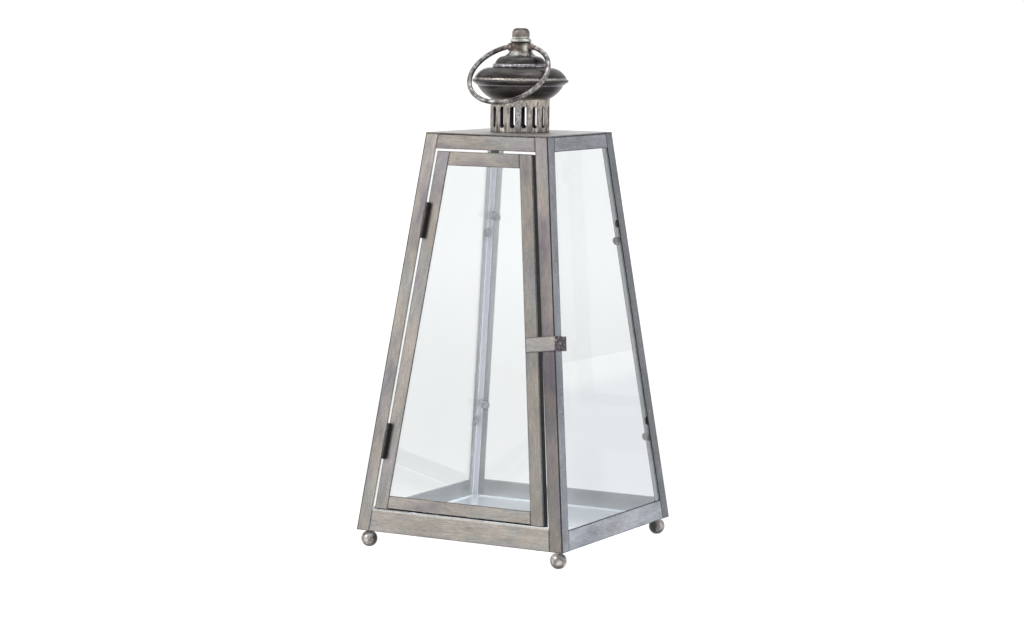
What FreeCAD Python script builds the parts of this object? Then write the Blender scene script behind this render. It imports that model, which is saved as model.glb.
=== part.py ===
import FreeCAD, Part
import math
import os
from types import SimpleNamespace

import Sketcher

# Candle lantern: a square lantern that tapers upwards, with a hinged glass door, a slotted vent
# collar, a domed cap and a swinging ring handle.
# Frame: origin on the ground under the middle of the base, +Z up, the door faces -Y.
# Every size is in millimetres and lives in the sheet "dims".

V = FreeCAD.Vector
Placement = FreeCAD.Placement
Rotation = FreeCAD.Rotation

X_AXIS = V(1, 0, 0)
Y_AXIS = V(0, 1, 0)
Z_AXIS = V(0, 0, 1)

LEFT = -1
RIGHT = 1

# Quarter turns about Z from the front.
FACES = {"front": 0, "right": 1, "back": 2, "left": 3}
CORNERS = {"front_left": 0, "front_right": 1, "back_right": 2, "back_left": 3}

SIZES = [
    # frame
    ("base_side", 200.0, "outer side of the frame at its foot"),
    ("top_side", 117.2, "outer side of the frame at its top"),
    ("frame_height", 339.0, "height of the tapered frame"),
    ("foot_height", 14.6, "ground to underside of the frame"),
    ("flange", 12.0, "width of each post flange"),
    ("gauge", 1.2, "thickness of posts and bands"),
    ("low_band", 17.0, "height of the side and back bottom bands, up the slope"),
    ("front_band", 19.0, "height of the front bottom band, up the slope"),
    ("top_band", 12.5, "height of the top bands, up the slope"),
    ("plate_gauge", 1.0, "thickness of the top and base plates"),
    ("plate_gap", 0.1, "base plate edge to band"),
    # feet
    ("ball_radius", 7.0, "ball foot"),
    ("foot_flat", 2.5, "radius of the flat under a foot"),
    ("foot_neck", 3.0, "radius of the neck above the ball"),
    ("foot_inset", 8.0, "foot axis in from each side of the base"),
    ("rivet_radius", 1.5, "foot rivet shank"),
    ("rivet_head", 3.0, "radius of a foot rivet's head"),
    ("rivet_rise", 1.2, "height of a foot rivet's head"),
    ("rivet_depth", 8.0, "foot rivet's reach below the base plate"),
    ("rivet_play", 0.03, "clearance round a rivet"),
    # fixed panes
    ("glass", 2.0, "thickness of the glass"),
    ("pane_inset", 7.0, "pane edge in from the corner"),
    ("pane_low", 2.5, "bottom of a fixed pane, up the slope"),
    ("pane_high", 336.0, "top of a fixed pane, up the slope"),
    # clips that hold the glass
    ("clip_gauge", 0.8, "thickness of a clip"),
    ("clip_width", 7.0, "width of a clip"),
    ("clip_root", 2.2, "clip's welded end in from the corner"),
    ("clip_step", 6.4, "clip's step in from the corner"),
    ("clip_reach", 14.0, "clip's tip in from the corner"),
    ("clip_spread", 176.0, "lower clip to upper clip"),
    ("left_clip_low", 74.0, "middle of the lower clip on a pane's left side"),
    ("right_clip_low", 90.0, "middle of the lower clip on a pane's right side"),
    # door
    ("door_low", 19.7, "bottom of the door, up the slope"),
    ("door_high", 327.0, "top of the door, up the slope"),
    ("door_proud", 0.4, "door face in front of the frame face"),
    ("door_gauge", 1.0, "thickness of the door's strips"),
    ("stile_width", 12.0, "width of a stile"),
    ("rail_width", 12.0, "height of a rail"),
    ("stile_lip", 8.0, "depth of a stile's inward lip"),
    ("lip_relief", 2.0, "length that the hinge stile's lip lacks at its foot, to clear the band"),
    ("hinge_gap", 2.4, "post to door on the hinge side"),
    ("latch_gap_low", 4.6, "post to door on the latch side, at the bottom"),
    ("latch_gap_high", 3.0, "post to door on the latch side, at the top"),
    ("door_glass_inset", 3.8, "stile's outer edge to the door glass"),
    ("door_glass_low", 24.0, "bottom of the door glass, up the slope"),
    ("door_glass_high", 320.0, "top of the door glass, up the slope"),
    ("door_clip_reach", 8.0, "door clip's tip from the stile's outer edge"),
    ("door_clip_low", 80.0, "middle of the lower door clips"),
    ("stop_left", 5.0, "left side of the door stop"),
    ("stop_width", 7.5, "width of the door stop"),
    ("stop_low", 321.0, "bottom of the door stop, up the slope"),
    ("stop_high", 335.0, "top of the door stop, up the slope"),
    # hinges
    ("axis_inset", 15.6, "hinge axis in from the corner"),
    ("axis_proud", 2.9, "hinge axis in front of the frame face"),
    ("barrel_radius", 1.95, "hinge knuckle"),
    ("pin_radius", 1.0, "hinge pin"),
    ("pin_play", 0.06, "running clearance round a hinge pin"),
    ("pin_fit", 0.03, "clearance of a fixed hinge pin"),
    ("pin_head", 1.2, "height of a hinge pin's head"),
    ("frame_knuckle", 24.0, "length of a frame knuckle"),
    ("door_knuckle", 5.0, "length of a door knuckle"),
    ("knuckle_gap", 0.3, "gap between neighbours on a hinge pin"),
    ("leaf_gauge", 0.8, "thickness of a hinge leaf"),
    ("leaf_gap", 0.1, "post edge to hinge leaf"),
    ("leaf_foot", 6.0, "leaf foot behind the post, in from the corner"),
    ("leaf_rise", 1.1, "frame face to the back of the frame leaf's bridge"),
    ("bridge_gauge", 0.6, "thickness of the frame leaf's bridge to its knuckle"),
    ("leaf_depth", 6.0, "depth of a door leaf behind the frame face"),
    ("low_hinge", 65.1, "bottom of the lower hinge, along the edge"),
    ("high_hinge", 256.1, "bottom of the upper hinge, along the edge"),
    # latch
    ("strap_gauge", 0.8, "thickness of the latch strap"),
    ("strap_width", 12.3, "height of the latch strap"),
    ("strap_middle", 173.0, "middle of the latch strap, along the edge"),
    ("strap_root", 27.0, "strap's inner end in from the corner"),
    ("strap_clear", 0.4, "strap to post"),
    ("strap_leg", 12.0, "straight part of the strap's side leg"),
    ("strap_curl", 3.0, "length of the curled end of the leg"),
    ("strap_flare", 1.6, "how far the curled end stands off"),
    # chimney and cap, heights above the ground
    ("collar_radius", 25.4, "outer radius of the vent collar"),
    ("collar_gauge", 1.2, "thickness of the vent collar"),
    ("collar_top", 383.2, "top of the vent collar"),
    ("slot_low", 358.6, "bottom of a vent slot"),
    ("slot_high", 377.0, "top of a vent slot"),
    ("slot_width", 4.5, "width of a vent slot"),
    ("slot_count", 16.0, "number of vent slots"),
    ("slot_turn", 14.0, "turn of the slots about Z, degrees"),
    ("cap_gauge", 1.0, "thickness of the cap's sheet"),
    ("bowl_radius", 36.9, "radius of the bowl's shoulder"),
    ("bowl_top", 394.5, "height of the bowl's shoulder"),
    ("bowl_arc", 27.0, "radius of the bowl's curve"),
    ("rim_radius", 41.2, "radius of the cap's rim"),
    ("rim_lap", 2.3, "width of the soldered rim"),
    ("rim_lip", 1.3, "how far the rim stands out from the dome's foot"),
    ("rim_height", 398.7, "height of the rim's seam"),
    ("dome_radius", 28.6, "radius of the dome's shoulder"),
    ("dome_top", 409.2, "height of the dome's shoulder"),
    ("dome_arc", 16.0, "radius of the dome's curve"),
    ("crown_seat", 409.8, "height of the crown's seat on the dome"),
    ("dome_hole", 18.0, "radius of the hole under the crown"),
    ("bead_radius", 23.6, "radius at the foot of the crown"),
    ("bead_bulge", 2.4, "radius of the crown's bead"),
    ("bead_top", 412.8, "height of the top of the bead"),
    ("crown_radius", 22.0, "radius of the crown's dome at its foot"),
    ("crown_arc", 9.0, "radius of the crown's dome curve"),
    ("crown_shoulder", 16.4, "radius where the crown's flare starts"),
    ("flare_low", 418.9, "height where the crown's flare starts"),
    ("flare_arc", 9.0, "radius of the flare's hollow curve"),
    ("flare_radius", 9.6, "radius at the top of the flare"),
    ("flare_top", 423.5, "height of the top of the flare"),
    # finial
    ("neck_foot", 9.2, "radius at the bottom of the finial's neck"),
    ("neck_waist", 8.4, "radius at the waist of the neck"),
    ("neck_head", 9.2, "radius at the top of the neck"),
    ("neck_arc", 5.0, "radius of the neck's hollow curves"),
    ("neck_top", 430.6, "height of the top of the neck"),
    ("boss_radius", 3.4, "radius of the cross boss"),
    ("boss_reach", 10.9, "half length of the cross boss"),
    ("pivot_height", 427.0, "height of the ring's pivot"),
    ("pivot_turn", 4.4, "turn of the ring's pivot about Z, degrees"),
    ("wire_play", 0.08, "running clearance round the ring's wire"),
    ("stud_radius", 2.5, "threaded stud under the neck"),
    ("stud_low", 417.0, "bottom of the stud"),
    ("stud_play", 0.05, "clearance round the stud"),
    ("nut_radius", 5.2, "finial nut, middle to corner"),
    ("nut_low", 419.0, "bottom of the finial nut"),
    ("knob_bead", 9.1, "radius of the knob's lower bead"),
    ("bead_height", 3.6, "height of the knob's lower bead"),
    ("knob_radius", 7.5, "radius of the knob"),
    ("knob_round", 4.2, "rounding of the knob's top"),
    ("knob_top", 443.2, "top of the lantern"),
    # ring handle
    ("wire_radius", 2.1, "radius of the ring's wire"),
    ("ring_radius", 34.8, "radius of the ring's wire line"),
    ("ring_bend", 4.1, "radius of the bend beside the boss"),
    ("ring_straight", 11.3, "half length of the ring's straight part"),
    ("ring_split", 0.2, "half of the gap between the wire's ends"),
    ("ring_droop", 42.7, "droop of the ring at rest, degrees"),
]


class Term:
    """A size together with the sheet formula that gives it."""

    def __init__(self, value, text):
        self.value = value
        self.text = text

    def __add__(self, other):
        other = term(other)
        return Term(self.value + other.value, f"({self.text} + {other.text})")

    def __sub__(self, other):
        other = term(other)
        return Term(self.value - other.value, f"({self.text} - {other.text})")

    def __mul__(self, other):
        other = term(other)
        return Term(self.value * other.value, f"({self.text} * {other.text})")

    def __truediv__(self, other):
        other = term(other)
        return Term(self.value / other.value, f"({self.text} / {other.text})")

    def __neg__(self):
        return Term(-self.value, f"(0 - {self.text})")


def term(value):
    """Any number as a Term."""
    if isinstance(value, Term):
        return value
    return Term(float(value), f"({float(value):.6f})")


def root(value):
    """Square root of a Term."""
    return Term(math.sqrt(value.value), f"sqrt({value.text})")


def make_sheet(doc):
    """Fill the sheet and return its sizes as Terms."""
    sheet = doc.addObject("Spreadsheet::Sheet", "dims")
    sizes = {}
    for row, (alias, value, note) in enumerate(SIZES, start=1):
        sheet.set(f"A{row}", note)
        sheet.set(f"B{row}", str(value))
        sheet.setAlias(f"B{row}", alias)
        sizes[alias] = Term(value, f"dims.{alias}")
    doc.recompute()
    return SimpleNamespace(**sizes)


doc = FreeCAD.newDocument("CandleLantern")
d = make_sheet(doc)

# Geometry shared by many pieces.
HALF_BASE = d.base_side / 2
HALF_TOP = d.top_side / 2
RUN = HALF_BASE - HALF_TOP
SLANT = root(RUN * RUN + d.frame_height * d.frame_height)
EDGE = root(RUN * RUN + SLANT * SLANT)
# Width over height of a face's slanted side, and the ratios that turn square widths into level ones.
SIDE_SLOPE = RUN / SLANT
SIDE_COS = SLANT / EDGE
FACE_COS = d.frame_height / SLANT
FACE_TILT = math.degrees(math.atan2(RUN.value, d.frame_height.value))
SIDE_TILT = math.degrees(math.atan2(RUN.value, SLANT.value))
# The two faces at a corner meet a little wider than a right angle.
CORNER_SPREAD = (RUN / SLANT) * (RUN / SLANT)
FRAME_TOP = d.foot_height + d.frame_height
PLATE_TOP = FRAME_TOP + d.plate_gauge
DOOR_BACK = d.door_gauge - d.door_proud
PANE_BACK = d.gauge + d.glass

nodes = []


# ---------------------------------------------------------------- helpers

def bind(obj, prop, value):
    """Tie a property to the sheet."""
    obj.setExpression(prop, term(value).text)


def keep(obj):
    """Mark an object as a piece of the lantern."""
    nodes.append(obj)
    return obj


def new_body(label, place=None):
    body = doc.addObject("PartDesign::Body", label)
    body.Label = label
    if place is not None:
        body.Placement = place
    return body


def origin_item(body, role):
    """One of a body's own origin planes or axes."""
    return next(item for item in body.Origin.OriginFeatures if item.Role == role)


def new_sketch(body, plane, offset=None):
    """A sketch on one of the body's planes, moved along its normal by offset."""
    sketch = body.newObject("Sketcher::SketchObject", "outline")
    sketch.AttachmentSupport = [(origin_item(body, plane), "")]
    sketch.MapMode = "FlatFace"
    if offset is not None:
        bind(sketch, "AttachmentOffset.Base.z", offset)
    return sketch


def constrain(sketch, kind, *items):
    """Add a constraint whose last item is a size tied to the sheet."""
    value = term(items[-1])
    index = sketch.addConstraint(Sketcher.Constraint(kind, *items[:-1], value.value))
    sketch.setExpression(f"Constraints[{index}]", value.text)


def arc_geometry(start, end, radius, turn):
    """Arc from start to end, turn +1 anticlockwise or -1 clockwise, and the order of its ends."""
    if turn < 0:
        arc, _ = arc_geometry(end, start, radius, 1)
        return arc, (2, 1)
    chord = end - start
    reach = math.sqrt(max(radius ** 2 - (chord.Length / 2) ** 2, 0))
    normal = V(-chord.y, chord.x, 0).normalize()
    middle = (start + end) / 2 + normal * reach
    first = math.atan2(start.y - middle.y, start.x - middle.x)
    last = math.atan2(end.y - middle.y, end.x - middle.x)
    if last < first:
        last += 2 * math.pi
    return Part.ArcOfCircle(Part.Circle(middle, Z_AXIS, radius), first, last), (1, 2)


def outline(sketch, points):
    """A closed outline of points (x, y), or (x, y, radius, turn) where an arc leads to the point."""
    count = len(points)
    places = [V(term(p[0]).value, term(p[1]).value, 0) for p in points]
    ends = []
    for index, start in enumerate(places):
        target = points[(index + 1) % count]
        finish = places[(index + 1) % count]
        if len(target) == 2:
            sketch.addGeometry(Part.LineSegment(start, finish))
            ends.append((1, 2))
        else:
            arc, order = arc_geometry(start, finish, term(target[2]).value, target[3])
            sketch.addGeometry(arc)
            ends.append(order)
    for index, point in enumerate(points):
        after = (index + 1) % count
        sketch.addConstraint(Sketcher.Constraint(
            "Coincident", index, ends[index][1], after, ends[after][0]))
        constrain(sketch, "DistanceX", -1, 1, index, ends[index][0], point[0])
        constrain(sketch, "DistanceY", -1, 1, index, ends[index][0], point[1])
        if len(points[after]) > 2:
            size_arc(sketch, index, point, points[after])
    return sketch


def size_arc(sketch, index, start, target):
    """Fix an arc between fixed ends: a half circle by its middle, any other arc by its radius."""
    dx = term(target[0]) - start[0]
    dy = term(target[1]) - start[1]
    chord = math.hypot(dx.value, dy.value)
    if chord < 2 * term(target[2]).value - 1e-6:
        constrain(sketch, "Radius", index, target[2])
    elif abs(dy.value) > abs(dx.value):
        constrain(sketch, "DistanceX", -1, 1, index, 3, start[0] + dx / 2)
    else:
        constrain(sketch, "DistanceY", -1, 1, index, 3, start[1] + dy / 2)


def circle(sketch, x, y, radius):
    index = sketch.addGeometry(Part.Circle(V(term(x).value, term(y).value, 0), Z_AXIS, term(radius).value))
    constrain(sketch, "Radius", index, radius)
    constrain(sketch, "DistanceX", -1, 1, index, 3, x)
    constrain(sketch, "DistanceY", -1, 1, index, 3, y)
    return sketch


def pad(body, sketch, length, inward=False, along=None):
    """Extrude a sketch, square to it or along a slanting direction of Terms."""
    feature = body.newObject("PartDesign::Pad", "pad")
    feature.Profile = sketch
    feature.Reversed = inward
    bind(feature, "Length", length)
    if along is not None:
        feature.UseCustomVector = True
        feature.AlongSketchNormal = True
        for axis, part in zip("xyz", along):
            bind(feature, f"Direction.{axis}", part)
    return feature


def cut(body, sketch, length, both_ways=False):
    """Pocket that has to take something away."""
    doc.recompute()
    before = body.Shape.Volume
    feature = body.newObject("PartDesign::Pocket", "pocket")
    feature.Profile = sketch
    feature.Midplane = both_ways
    bind(feature, "Length", length)
    doc.recompute()
    if body.Shape.Volume > before - 0.01:
        raise RuntimeError(f"{body.Label}: the pocket removes nothing")
    return feature


def spin(body, sketch):
    """Turn a sketch on the XZ plane round the body's Z axis."""
    feature = body.newObject("PartDesign::Revolution", "revolution")
    feature.Profile = sketch
    feature.ReferenceAxis = (sketch, ["V_Axis"])
    feature.Angle = 360.0
    return feature


def pattern_round(body, originals, count):
    """Repeat features round the body's Z axis."""
    feature = body.newObject("PartDesign::PolarPattern", "polar_pattern")
    feature.Originals = originals
    feature.Axis = (origin_item(body, "Z_Axis"), [""])
    feature.Angle = 360.0
    feature.Occurrences = count
    body.Tip = feature
    return feature


def pattern_up(body, originals, length):
    """Repeat features once more, higher up the body's Z axis."""
    feature = body.newObject("PartDesign::LinearPattern", "linear_pattern")
    feature.Originals = originals
    feature.Direction = (origin_item(body, "Z_Axis"), [""])
    bind(feature, "Length", length)
    feature.Occurrences = 2
    body.Tip = feature
    return feature


def turned(label, points):
    """A piece of revolution about the lantern's axis, from its outline (radius, height)."""
    body = new_body(label)
    spin(body, outline(new_sketch(body, "XZ_Plane"), points))
    return keep(body)


def face_place(face):
    """Frame of a face: x right, y inward, z up the slope, origin at the middle of its foot."""
    turn = Placement(V(), Rotation(Z_AXIS, 90.0 * FACES[face]))
    slope = Placement(V(0, -HALF_BASE.value, d.foot_height.value), Rotation(X_AXIS, -FACE_TILT))
    return turn * slope


def edge_place(face, side):
    """Frame of a face's slanted side: as the face, with z up the side and origin at its foot."""
    lean = Placement(V(side * HALF_BASE.value, 0, 0), Rotation(Y_AXIS, -side * SIDE_TILT))
    return face_place(face) * lean


def level(width):
    """Level width of a strip that is this wide square to the slanted side."""
    return term(width) / SIDE_COS


def half_width(height, inset):
    """Half width of a face at a height, up to a line parallel to its slanted side."""
    return HALF_BASE - term(height) * SIDE_SLOPE - level(inset)


def tapered(low, high, inset):
    """Outline of a strip or pane between two heights, this far in from both slanted sides."""
    low_x = half_width(low, inset)
    high_x = half_width(high, inset)
    return [(-low_x, low), (low_x, low), (high_x, high), (-high_x, high)]


def face_plate(label, face, points, depth, thickness):
    """A flat piece parallel to a face, its front at a depth behind the face."""
    body = new_body(label, face_place(face))
    sketch = outline(new_sketch(body, "XZ_Plane", -term(depth)), points)
    pad(body, sketch, thickness, inward=True)
    return keep(body)


# ---------------------------------------------------------------- frame

def corner_post(corner):
    """Angle section that follows a slanted corner of the frame."""
    place = Placement(V(0, 0, d.foot_height.value), Rotation(Z_AXIS, 90.0 * CORNERS[corner]))
    body = new_body(f"corner_post_{corner}", place)
    outer = -HALF_BASE
    inner = outer + d.gauge / FACE_COS
    tip = outer + level(d.flange)
    sketch = outline(new_sketch(body, "XY_Plane"), [
        (outer, outer), (tip, outer), (tip, inner), (inner, inner), (inner, tip), (outer, tip)])
    pad(body, sketch, d.frame_height, along=(RUN, RUN, d.frame_height))
    return keep(body)


def bands(face):
    """Bottom and top strips between the posts of one face."""
    height = d.front_band if face == "front" else d.low_band
    face_plate(f"bottom_band_{face}", face, tapered(0, height, d.flange), 0, d.gauge)
    face_plate(f"top_band_{face}", face, tapered(SLANT - d.top_band, SLANT, d.flange), 0, d.gauge)


def base_plate():
    """Floor of the lantern, with a rivet hole over each foot."""
    body = new_body("base_plate", Placement(V(0, 0, d.foot_height.value), Rotation()))
    half = HALF_BASE - d.gauge / FACE_COS - d.plate_gap - d.plate_gauge * RUN / d.frame_height
    square = outline(new_sketch(body, "XY_Plane"), [
        (-half, -half), (half, -half), (half, half), (-half, half)])
    pad(body, square, d.plate_gauge)
    foot = HALF_BASE - d.foot_inset
    hole = circle(new_sketch(body, "XY_Plane"), foot, foot, d.rivet_radius + d.rivet_play)
    pattern_round(body, [cut(body, hole, d.plate_gauge * 4, both_ways=True)], 4)
    return keep(body)


def top_plate():
    """Lid of the frame, open under the chimney."""
    body = new_body("top_plate", Placement(V(0, 0, FRAME_TOP.value), Rotation()))
    sketch = outline(new_sketch(body, "XY_Plane"), [
        (-HALF_TOP, -HALF_TOP), (HALF_TOP, -HALF_TOP), (HALF_TOP, HALF_TOP), (-HALF_TOP, HALF_TOP)])
    circle(sketch, 0, 0, d.collar_radius - d.collar_gauge)
    pad(body, sketch, d.plate_gauge)
    return keep(body)


def foot(corner):
    """Ball foot with a flat to stand on, a neck and a bore for its rivet."""
    inset = HALF_BASE.value - d.foot_inset.value
    turn = Placement(V(), Rotation(Z_AXIS, 90.0 * CORNERS[corner]))
    body = new_body(f"foot_{corner}", turn * Placement(V(-inset, -inset, 0), Rotation()))
    ball = d.ball_radius
    middle = root(ball * ball - d.foot_flat * d.foot_flat)
    shoulder = middle + root(ball * ball - d.foot_neck * d.foot_neck)
    bore = d.rivet_radius + d.rivet_play
    bore_end = d.foot_height - d.rivet_depth
    spin(body, outline(new_sketch(body, "XZ_Plane"), [
        (0, 0), (d.foot_flat, 0), (ball, middle, ball, 1), (d.foot_neck, shoulder, ball, 1),
        (d.foot_neck, d.foot_height), (bore, d.foot_height), (bore, bore_end), (0, bore_end)]))
    return keep(body)


def foot_rivets():
    """Four rivets that hold the feet to the base plate."""
    low = d.foot_height - d.rivet_depth + d.rivet_play
    floor = d.foot_height + d.plate_gauge
    body = new_body("foot_rivets")
    spot = HALF_BASE - d.foot_inset
    shank = pad(body, circle(new_sketch(body, "XY_Plane", low), spot, spot, d.rivet_radius), floor - low)
    head = pad(body, circle(new_sketch(body, "XY_Plane", floor), spot, spot, d.rivet_head), d.rivet_rise)
    pattern_round(body, [shank, head], 4)
    return keep(body)


# ---------------------------------------------------------------- fixed panes

def pane(face):
    face_plate(f"pane_{face}", face, tapered(d.pane_low, d.pane_high, d.pane_inset), d.gauge, d.glass)


def round_tip(body, base, radius, is_tip):
    """Round the upright edges of a tongue's tip."""
    doc.recompute()
    names = []
    for index, edge in enumerate(base.Shape.Edges, start=1):
        ends = [vertex.Point for vertex in edge.Vertexes]
        upright = len(ends) == 2 and abs(ends[0].y - ends[1].y) > abs(ends[0].z - ends[1].z)
        if upright and all(is_tip(point) for point in ends):
            names.append(f"Edge{index}")
    feature = body.newObject("PartDesign::Fillet", "round_tip")
    feature.Base = (base, names)
    bind(feature, "Radius", radius)
    return feature


def clip_column(name, place, side, section, tip, low, spread):
    """Two bent tongues, one above the other, from their section (inset, depth)."""
    body = new_body(name, place)
    across = -side
    points = [(term(inset) * across, depth) for inset, depth in section]
    sketch = outline(new_sketch(body, "XY_Plane", term(low) - d.clip_width / 2), points)
    tongue = pad(body, sketch, d.clip_width)
    rounding = round_tip(body, tongue, d.clip_width * 0.48,
                         lambda point: abs(point.x - across * tip.value) < 0.01)
    pattern_up(body, [tongue, rounding], spread)
    return body


def pane_clips(face):
    """Four tongues welded inside the posts that press a fixed pane against the frame."""
    skin = d.clip_gauge
    section = [
        (d.clip_root, d.gauge), (d.clip_step, d.gauge), (d.clip_step, PANE_BACK),
        (d.clip_reach, PANE_BACK), (d.clip_reach, PANE_BACK + skin), (d.clip_step - skin, PANE_BACK + skin),
        (d.clip_step - skin, d.gauge + skin), (d.clip_root, d.gauge + skin)]
    columns = [
        clip_column(f"clip_column_{face}_{side}", edge_place(face, side), side,
                    section, d.clip_reach, low, d.clip_spread)
        for side, low in ((LEFT, d.left_clip_low), (RIGHT, d.right_clip_low))]
    group = doc.addObject("Part::Compound", f"pane_clips_{face}")
    group.Label = f"pane_clips_{face}"
    group.Links = columns
    return keep(group)


# ---------------------------------------------------------------- door

def door_edge(height, side, inset=0):
    """Level place of the door's side at a height, moved towards the door's middle by inset."""
    if side == LEFT:
        return -half_width(height, d.flange + d.hinge_gap + inset)
    rise = (term(height) - d.door_low) / (d.door_high - d.door_low)
    gap = d.latch_gap_low + (d.latch_gap_high - d.latch_gap_low) * rise
    return half_width(height, d.flange + gap + inset)


def door_strip(low, high, inset):
    """Outline between two heights of the door, this far in from both of its sides."""
    return [
        (door_edge(low, LEFT, inset), low), (door_edge(low, RIGHT, inset), low),
        (door_edge(high, RIGHT, inset), high), (door_edge(high, LEFT, inset), high)]


def door_stile(name, side):
    """Upright angle strip of the door, its lip turned inward; the hinge side's is short at the foot."""
    body = new_body(f"door_stile_{name}", face_place("front"))
    outer = door_edge(d.door_low, side)
    shift = door_edge(d.door_high, side) - outer
    height = d.door_high - d.door_low
    into = -side
    front = -d.door_proud
    lip = outer + level(d.door_gauge) * into
    tip = outer + level(d.stile_width) * into
    sketch = outline(new_sketch(body, "XY_Plane", d.door_low), [
        (outer, front), (tip, front), (tip, front + d.door_gauge), (lip, front + d.door_gauge),
        (lip, front + d.stile_lip), (outer, front + d.stile_lip)])
    pad(body, sketch, height, along=(shift, 0, height))
    if side == LEFT:
        outside = outer - d.door_gauge * into
        inside = lip + d.door_gauge * into
        notch = outline(new_sketch(body, "XY_Plane", d.door_low), [
            (outside, front + d.door_gauge), (inside, front + d.door_gauge),
            (inside, front + d.stile_lip * 2), (outside, front + d.stile_lip * 2)])
        cut(body, notch, d.lip_relief * 2, both_ways=True)
    return keep(body)


def door_rails():
    front = -d.door_proud
    low = door_strip(d.door_low, d.door_low + d.rail_width, d.stile_width)
    high = door_strip(d.door_high - d.rail_width, d.door_high, d.stile_width)
    face_plate("door_rail_bottom", "front", low, front, d.door_gauge)
    face_plate("door_rail_top", "front", high, front, d.door_gauge)


def door_glass():
    points = door_strip(d.door_glass_low, d.door_glass_high, d.door_glass_inset)
    face_plate("door_glass", "front", points, DOOR_BACK, d.glass)


def door_glass_clips():
    """Four tongues that come from the stiles' lips and hold the door's glass."""
    front = DOOR_BACK + d.glass
    back = front + d.clip_gauge
    columns = []
    for side in (LEFT, RIGHT):
        body = new_body(f"clip_column_door_{side}", face_place("front"))
        tongues = []
        for low in (d.door_clip_low, d.door_clip_low + d.clip_spread):
            bottom = low - d.clip_width / 2
            top = low + d.clip_width / 2
            lip = d.door_gauge
            points = [(door_edge(bottom, side, lip), bottom), (door_edge(bottom, side, d.door_clip_reach), bottom),
                      (door_edge(top, side, d.door_clip_reach), top), (door_edge(top, side, lip), top)]
            sketch = outline(new_sketch(body, "XZ_Plane", -front), points)
            tongues.append(pad(body, sketch, back - front, inward=True))
        columns.append(body)
    group = doc.addObject("Part::Compound", "door_glass_clips")
    group.Label = "door_glass_clips"
    group.Links = columns
    return keep(group)


def door_stop():
    """Tab inside the top band that the door closes against."""
    right = d.stop_left + d.stop_width
    points = [(d.stop_left, d.stop_low), (right, d.stop_low), (right, d.stop_high), (d.stop_left, d.stop_high)]
    face_plate("door_stop_tab", "front", points, d.gauge, d.leaf_gauge)


def latch_strap():
    """Spring strap on the latch stile that wraps round the corner post."""
    body = new_body("latch_strap", edge_place("front", RIGHT))
    skin = d.strap_gauge
    clear = d.strap_clear
    out = clear + skin
    leg = d.strap_leg
    drift = leg * CORNER_SPREAD
    end = leg + d.strap_curl
    flare = drift + d.strap_flare
    sketch = outline(new_sketch(body, "XY_Plane", d.strap_middle - d.strap_width / 2), [
        (-d.strap_root, -out), (0, -out), (out, 0, out, 1),
        (out + drift, leg), (out + flare, end), (clear + flare, end), (clear + drift, leg),
        (clear, 0), (0, -clear, clear, -1), (-d.strap_root, -clear)])
    pad(body, sketch, d.strap_width)
    return keep(body)


# ---------------------------------------------------------------- hinges

def hinge_body(name):
    return new_body(name, edge_place("front", LEFT))


def bore(body, start, length, radius):
    """Hole along the hinge axis from a height upwards."""
    sketch = circle(new_sketch(body, "XY_Plane", start + length / 2), d.axis_inset, -d.axis_proud, radius)
    cut(body, sketch, length * 2, both_ways=True)


def knuckle(name, start, length, leaf, hole):
    """A leaf and a barrel on the hinge axis."""
    body = hinge_body(name)
    pad(body, outline(new_sketch(body, "XY_Plane", start), leaf), length)
    barrel = circle(new_sketch(body, "XY_Plane", start), d.axis_inset, -d.axis_proud, d.barrel_radius)
    pad(body, barrel, length)
    bore(body, start, length, hole)
    return keep(body)


def hinge(name, start):
    """Lift-off hinge: long frame knuckle below, short door knuckle above, headed pin through both."""
    skin = d.leaf_gauge
    axis = -d.axis_proud
    edge = d.flange + d.leaf_gap
    bridge_back = -d.leaf_rise
    bridge_front = bridge_back - d.bridge_gauge
    frame_leaf = [
        (d.leaf_foot, d.gauge), (edge, d.gauge), (edge, bridge_front), (d.axis_inset, bridge_front),
        (d.axis_inset, bridge_back), (edge + skin, bridge_back), (edge + skin, d.gauge + skin),
        (d.leaf_foot, d.gauge + skin)]
    knuckle(f"{name}_frame_knuckle", start, d.frame_knuckle, frame_leaf, d.pin_radius + d.pin_fit)

    door_side = d.flange + d.hinge_gap
    door_start = start + d.frame_knuckle + d.knuckle_gap
    door_leaf = [
        (door_side - skin, axis), (door_side, axis), (door_side, d.leaf_depth), (door_side - skin, d.leaf_depth)]
    knuckle(f"{name}_door_knuckle", door_start, d.door_knuckle, door_leaf, d.pin_radius + d.pin_play)

    head_start = door_start + d.door_knuckle + d.knuckle_gap
    pin = hinge_body(f"{name}_pin")
    shank = circle(new_sketch(pin, "XY_Plane", start), d.axis_inset, axis, d.pin_radius)
    pad(pin, shank, head_start - start)
    head = circle(new_sketch(pin, "XY_Plane", head_start), d.axis_inset, axis, d.barrel_radius)
    pad(pin, head, d.pin_head)
    return keep(pin)


# ---------------------------------------------------------------- chimney and cap

def vent_collar():
    """Tube with a ring of upright slots."""
    place = Placement(V(0, 0, PLATE_TOP.value), Rotation(Z_AXIS, d.slot_turn.value))
    body = new_body("vent_collar", place)
    wall = circle(new_sketch(body, "XY_Plane"), 0, 0, d.collar_radius)
    circle(wall, 0, 0, d.collar_radius - d.collar_gauge)
    pad(body, wall, d.collar_top - PLATE_TOP)
    half = d.slot_width / 2
    low = d.slot_low + half - PLATE_TOP
    high = d.slot_high - half - PLATE_TOP
    slot = outline(new_sketch(body, "XZ_Plane"), [
        (half, low, half, 1), (half, high), (-half, high, half, 1), (-half, low)])
    pattern_round(body, [cut(body, slot, d.collar_radius * 1.2)], int(d.slot_count.value))
    return keep(body)


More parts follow.
